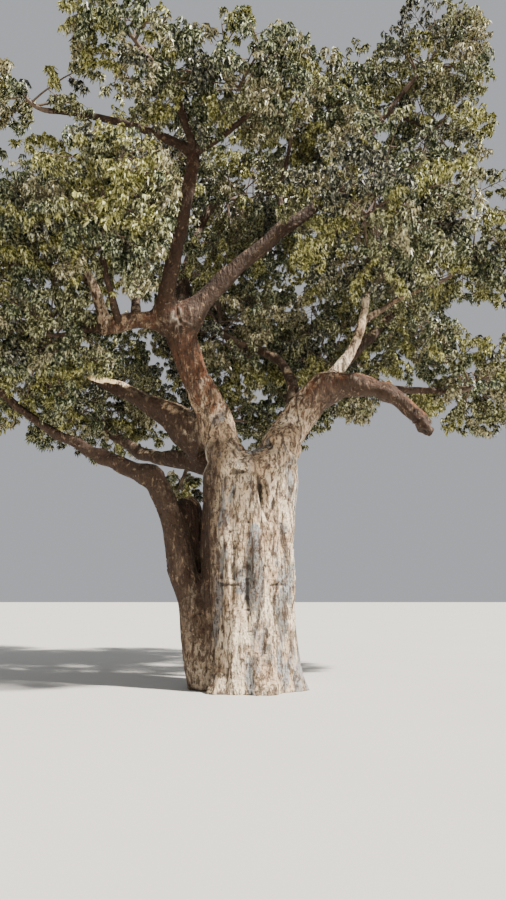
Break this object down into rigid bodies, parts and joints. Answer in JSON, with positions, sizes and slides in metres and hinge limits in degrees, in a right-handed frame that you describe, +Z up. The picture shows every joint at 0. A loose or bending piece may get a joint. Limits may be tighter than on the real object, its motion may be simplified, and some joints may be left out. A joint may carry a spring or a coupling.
{
  "type": "baobab tree",
  "caption": "Spreading baobab: thick fluted trunk that forks into heavy boughs, slimmer side stem, broken bough, and open leafy crown; cut flat at ground level.",
  "frame": {"origin": "middle of the main column's foot, on the flat cut at ground level", "axes": "+Z up, +X to the right of the tree's front, +Y to its back; the side stem stands on the -X side"},
  "size_m": [13.8165, 9.683, 14.0421],
  "materials": {
    "bark": "matte grey-brown bark with pale and pinkish patches",
    "foliage": "olive green leaves with a slight waxy sheen"
  },
  "bodies": {
    "root": {"arm_back": "bark", "arm_drop": "bark", "arm_fore": "bark", "arm_front": "bark", "arm_riser": "bark", "back_arch": "bark", "back_left": "bark", "back_low": "bark", "back_mid": "bark", "back_right": "bark", "back_rise": "bark", "back_sprout": "bark", "broken_bough": "bark", "leaves_back_arch": "foliage", "leaves_back_left": "foliage", "leaves_back_low": "foliage", "leaves_back_mid": "foliage", "leaves_back_right": "foliage", "leaves_back_rise": "foliage", "leaves_between": "foliage", "leaves_crown_front": "foliage", "leaves_crown_mid": "foliage", "leaves_left_arm": "foliage", "leaves_left_back": "foliage", "leaves_left_fore": "foliage", "leaves_left_high": "foliage", "leaves_left_limb": "foliage", "leaves_left_low": "foliage", "leaves_left_out": "foliage", "leaves_pale_limb": "foliage", "leaves_peak": "foliage", "leaves_peak_side": "foliage", "leaves_right_far": "foliage", "leaves_right_front": "foliage", "leaves_right_high": "foliage", "leaves_right_low": "foliage", "leaves_top_left": "foliage", "left_arm": "bark", "left_arm_up": "bark", "left_bough": "bark", "left_limb": "bark", "left_out": "bark", "pale_limb": "bark", "pale_side": "bark", "peak_limb": "bark", "peak_side": "bark", "right_arm": "bark", "right_bough": "bark", "right_fan": "bark", "right_reach": "bark", "right_stub": "bark", "right_stub_end": "bark", "side_stem": "bark", "trunk": "bark", "upright": "bark", "upright_left": "bark", "upright_right": "bark", "upright_top": "bark"}
  },
  "joints": []
}
